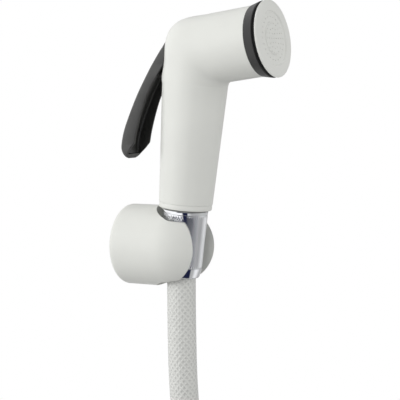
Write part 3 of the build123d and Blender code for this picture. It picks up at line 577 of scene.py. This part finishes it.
def collar_ring():
    """Ring behind the spray face, with a rounded shoulder and a deep groove before the face."""
    shoulder = PLATE_BACK - GROOVE_WIDTH
    solid_front = PLATE_BACK - FACE_RECESS
    front_r = RING_BACK_R + (FACE_R - RING_BACK_R) * (shoulder - RING_START) / (solid_front - RING_START)
    profile = [(RING_START, RING_BORE_R), (RING_START, RING_BACK_R - 0.00025),
               (RING_START, RING_BACK_R - 0.00012), (RING_START + 0.00012, RING_BACK_R)]
    for k in range(1, RING_ROWS):
        t = k / RING_ROWS
        profile.append((RING_START + (shoulder - SHOULDER_R - RING_START) * t,
                        RING_BACK_R + (front_r - RING_BACK_R) * t))
    for k in range(6):
        a = math.radians(18 * k)
        profile.append((shoulder - SHOULDER_R * (1 - math.sin(a)),
                        front_r - SHOULDER_R * (1 - math.cos(a))))
    profile += [(shoulder, GROOVE_R + 0.0001), (shoulder + 0.0001, GROOVE_R), (PLATE_BACK, GROOVE_R),
                (PLATE_BACK, RING_BORE_R)]
    ring = turned("collar_ring_shoulder", profile, black_ring, place=head_point)
    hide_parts("collar_ring")


collar_ring()


# Return spring


def return_spring():
    """Own copy of the spring's wire on the handset's body, in place of the CAD spring."""
    spring = bpy.data.objects.new("return_spring_wire", nodes["return_spring"].data.copy())
    bpy.context.scene.collection.objects.link(spring)
    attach(spring, BODY)
    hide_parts("return_spring")
    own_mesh(spring)


return_spring()


# Lever

PIN = Vector((0, -0.0325, 0.1075))
PIN_BARREL_R = 0.0028
PIN_BORE_R = 0.00145
PRESS_BOSS_BACK = Vector((0, -0.0261, 0.096))
PRESS_BOSS_FRONT = Vector((0, -0.0185, 0.096))
PRESS_BOSS_R = 0.0026
LEVER_HALF = 0.0085  # half of its width
LEVER_WALL = 0.0018
LEVER_FLANK = 0.0012
LEVER_BEND = 0.002  # of the back's edges
LEVER_RIM = 0.0007
HOLLOW_START = 12  # ring where the hollow begins
HOLLOW_RUN = 5
SHALLOW = 0.0028  # depth up to which there is no hollow
SHALLOW_RUN = 0.002
FLANKS_FROM = 0.017  # this far below the pin the flanks begin to widen
FLANKS_RUN = 0.03
FLANKS_WIDER = 0.06
TIP_FROM = 0.0527  # and from here they close toward the tip
TIP_RUN = 0.0066
TIP_NARROWER = 0.75
# Side view in mm behind and below the pin, in pairs from the head to the tip
LEVER_BACK = ((3.7, -5.0), (6.9, -1.2), (10.1, 3.4), (13.2, 8.1), (17.9, 16.0), (22.4, 24.4), (26.9, 34.4),
              (30.5, 43.7), (32.1, 51.5), (32.0, 55.2), (31.3, 57.8), (29.9, 59.2))
LEVER_MOUTH = ((2.3, -3.4), (1.6, 0.0), (3.0, 4.0), (4.9, 8.1), (11.3, 17.3), (15.5, 25.2), (18.9, 34.5),
               (21.6, 44.0), (22.9, 50.5))
LEVER_END = ((22.9, 50.5), (25.4, 53.3), (27.8, 56.0), (29.7, 58.9))


def smooth_path(places, steps=6):
    """Line through these points in the lever's side view, with as many steps from each to the next."""
    points = [Vector(place) / 1000 for place in places]
    points = [2 * points[0] - points[1]] + points + [2 * points[-1] - points[-2]]
    line = []
    for a, b, c, d in zip(points, points[1:], points[2:], points[3:]):
        for k in range(steps):
            t = k / steps
            line.append(b + (c - a) * (t / 2) + (2 * a - 5 * b + 4 * c - d) * (t * t / 2)
                        + (3 * (b - c) + d - a) * (t ** 3 / 2))
    return line + [points[-2]]


def share(value, start, run):
    """How far a value is along a run, 0 before it and 1 past it."""
    return min(max((value - start) / run, 0.0), 1.0)


def channel_ring(depth, hollow):
    """Cross-section of the lever: across, and from the back toward the open side."""
    bend = min(LEVER_BEND, 0.45 * depth)
    rim = min(LEVER_RIM, 0.2 * depth)
    floor = depth - hollow * (depth - LEVER_WALL) - 0.00005
    inside = LEVER_HALF - LEVER_FLANK
    half_ring = []
    for n in range(5):
        turn = math.pi / 2 * n / 4
        half_ring.append((LEVER_HALF - bend + bend * math.sin(turn), bend - bend * math.cos(turn)))
    for n in range(3):
        turn = math.pi / 2 * n / 2
        half_ring.append((LEVER_HALF - rim + rim * math.cos(turn), depth - rim + rim * math.sin(turn)))
    half_ring += [(inside, depth), (0.95 * inside, floor + 0.1 * (depth - floor)), (0.88 * inside, floor)]
    return half_ring + [(-x, q) for x, q in reversed(half_ring)]


def lever_form():
    """Channel-shaped lever with the barrel round its pin and the boss that presses the stem."""
    back_line = smooth_path(LEVER_BACK)
    mouth_line = smooth_path(LEVER_MOUTH) + smooth_path(LEVER_END)[1:]
    verts = []
    faces = []
    for n, (b, m) in enumerate(zip(back_line, mouth_line)):
        depth = (m - b).length
        hollow = share(n, HOLLOW_START, HOLLOW_RUN) * share(depth, SHALLOW, SHALLOW_RUN)
        ring = channel_ring(depth, hollow)
        for x, q in ring:
            behind, below = b + (m - b) * (q / depth)
            past = share(below, TIP_FROM, TIP_RUN)
            wider = FLANKS_WIDER * share(below, FLANKS_FROM, FLANKS_RUN)
            width = (1 + wider) * (1 - TIP_NARROWER * (1 - math.sqrt(1 - past * past)))
            verts.append(PIN + Vector((x * width, behind, -below)))
        if n:
            faces += strip(len(verts) - 2 * len(ring), len(ring))
    faces += [tuple(range(len(ring))), tuple(reversed(range(len(verts) - len(ring), len(verts))))]
    across = X_AXIS * LEVER_HALF
    tube(verts, faces, PIN - across, PIN + across, PIN_BARREL_R, PIN_BORE_R)
    tube(verts, faces, PRESS_BOSS_BACK, PRESS_BOSS_FRONT, PRESS_BOSS_R, 0)
    lever = new_object("lever_moulding", verts, faces, black_lever, "lever_body")
    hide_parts("lever")


lever_form()


# Stage

VIEW_AZIMUTH = math.radians(-60.95)
VIEW_ELEVATION = math.radians(4.35)
TARGET = Vector((0, -0.0465, 0.02617))
DISTANCE = 0.85
SENSOR_WIDTH = 36
LENS = 138.95
FLOOR_R = 0.25
FLOOR_GAP = 0.001  # below the solids
GLOW = 0.43  # strength of the even white light
DARK = (0.012, 0.016, 0.05)

# What shiny metal mirrors, as (degrees to the right of the camera, tone): one row of tones for rays that
# fall slightly, one for rays that fall steeply, and one for all other rays
SLIGHT_ROOM = ((-180, 0.65), (-100, 0.9), (-70, 1.2), (-16, 1.2), (-10, DARK), (11, DARK), (14, 0.75),
               (22, 0.75), (34, 0.46), (66, 0.5), (85, 0.58), (130, 0.58))
STEEP_ROOM = ((-180, 0.5), (-60, 1.1), (-46, 1.0), (-36, DARK), (62, DARK), (66, 0.5), (140, 0.52))
OTHER_ROOM = ((-180, 0.6), (-140, 1.2), (-46, 1.2), (-36, DARK), (38, DARK), (46, 0.22), (72, 0.32),
              (82, 0.6), (93, 0.86), (106, 1.0), (120, 0.82), (135, 0.45), (154, 0.22))
SLIGHT_FALL = 0.2  # how far such a ray drops over a length of 1
SLIGHT_EDGE = (0.1, 0.2)  # this far above and below it the slight room ends and the other one is full
STEEP_FALL = (-0.62, -0.58)  # where the steep room is full, and where it ends

# Lamps: name, place from the target (right, toward the camera, up), size, power
LAMPS = (
    ("left", -0.9, 0.3, 0.15, (0.7, 0.7), 3.3),
    ("front_left", -0.5, 0.8, 0.4, (0.6, 0.6), 3.2),
    ("top", 0.0, 0.15, 0.9, (0.7, 0.7), 0.5),
    ("right", 0.9, 0.3, 0.1, (0.6, 0.7), 2.5),
    ("behind", -0.7, -0.6, 0.3, (0.6, 0.7), 1.1),
)

TO_CAMERA = Vector((math.sin(VIEW_AZIMUTH) * math.cos(VIEW_ELEVATION),
                    -math.cos(VIEW_AZIMUTH) * math.cos(VIEW_ELEVATION), math.sin(VIEW_ELEVATION)))
SCREEN_RIGHT = Vector((math.cos(VIEW_AZIMUTH), math.sin(VIEW_AZIMUTH), 0))


def make_floor(up):
    """Round white floor under the object."""
    mesh = bpy.data.meshes.new("floor")
    form = bmesh.new()
    bmesh.ops.create_circle(form, cap_ends=True, radius=FLOOR_R, segments=96)
    form.to_mesh(mesh)
    form.free()
    mesh.materials.append(material("floor_white", (0.8, 0.8, 0.8), 0.9))
    floor = bpy.data.objects.new("floor", mesh)
    floor.location = (0, -0.05, up)
    bpy.context.scene.collection.objects.link(floor)


def room_tones(g, turn, tones):
    """Ramp of these tones over a turn that runs from 0 to 1."""
    return g.ramp(turn, [((degrees + 180) / 360, tone) for degrees, tone in tones])


def make_world():
    """White behind the object, a soft glow on it, and the room that shiny metal mirrors."""
    world = bpy.data.worlds.new("studio")
    bpy.context.scene.world = world
    world.use_nodes = True
    world.node_tree.nodes.clear()
    g = Graph(world)
    white = g.background((1, 1, 1), 1.0)
    glow = g.background((1, 1, 1), GLOW)
    room = g.background((1, 1, 1), 1.0)
    direction = g.add("ShaderNodeMapping")
    direction.inputs["Rotation"].default_value = (0, 0, math.pi / 2 - VIEW_AZIMUTH)
    g.link(g.add("ShaderNodeTexCoord").outputs["Generated"], direction.inputs["Vector"])
    split = g.add("ShaderNodeSeparateXYZ")
    g.link(direction.outputs["Vector"], split.inputs["Vector"])
    angle = g.maths("ARCTAN2", split.outputs["Y"], split.outputs["X"])
    turn = g.spread(angle, 0.0, 1.0, -math.pi, math.pi)
    slight = room_tones(g, turn, SLIGHT_ROOM)
    other = room_tones(g, turn, OTHER_ROOM)
    steep = room_tones(g, turn, STEEP_ROOM)
    up = split.outputs["Z"]
    off_slight = g.spread(g.maths("ABSOLUTE", g.maths("ADD", up, SLIGHT_FALL)), 0.0, 1.0, *SLIGHT_EDGE)
    falling = g.spread(up, 1.0, 0.0, *STEEP_FALL)
    g.link(g.blend(falling, g.blend(off_slight, slight, other), steep), room.inputs["Color"])
    rays = g.add("ShaderNodeLightPath")
    lit = g.mixed(rays.outputs["Is Glossy Ray"], glow, room)
    out = g.add("ShaderNodeOutputWorld")
    straight = g.maths("MAXIMUM", rays.outputs["Is Camera Ray"], rays.outputs["Is Transmission Ray"])
    g.link(g.mixed(straight, lit, white).outputs[0], out.inputs["Surface"])


def area_light(name, location, size, power):
    """Soft lamp toward the object that metal doesn't mirror."""
    data = bpy.data.lights.new(name, "AREA")
    data.shape = "RECTANGLE"
    data.size, data.size_y = size
    data.energy = power
    lamp = bpy.data.objects.new(name, data)
    lamp.location = location
    lamp.visible_glossy = False
    lamp.rotation_mode = "QUATERNION"
    lamp.rotation_quaternion = (TARGET - location).to_track_quat("-Z", "Y")
    bpy.context.scene.collection.objects.link(lamp)


def make_camera():
    """Camera at the photo's place."""
    camera = bpy.data.objects.new("camera", bpy.data.cameras.new("camera"))
    bpy.context.scene.collection.objects.link(camera)
    bpy.context.scene.camera = camera
    camera.data.sensor_width = SENSOR_WIDTH
    camera.data.lens = LENS
    camera.location = TARGET + TO_CAMERA * DISTANCE
    camera.rotation_mode = "QUATERNION"
    camera.rotation_quaternion = (-TO_CAMERA).to_track_quat("-Z", "Y")


make_floor(cad_lo.z - FLOOR_GAP)
make_world()
for name, right, toward, above, size, power in LAMPS:
    place = TARGET + SCREEN_RIGHT * right + TO_CAMERA * toward + Vector((0, 0, above))
    area_light(name, place, size, power)
make_camera()
bpy.context.scene.view_settings.view_transform = "Standard"
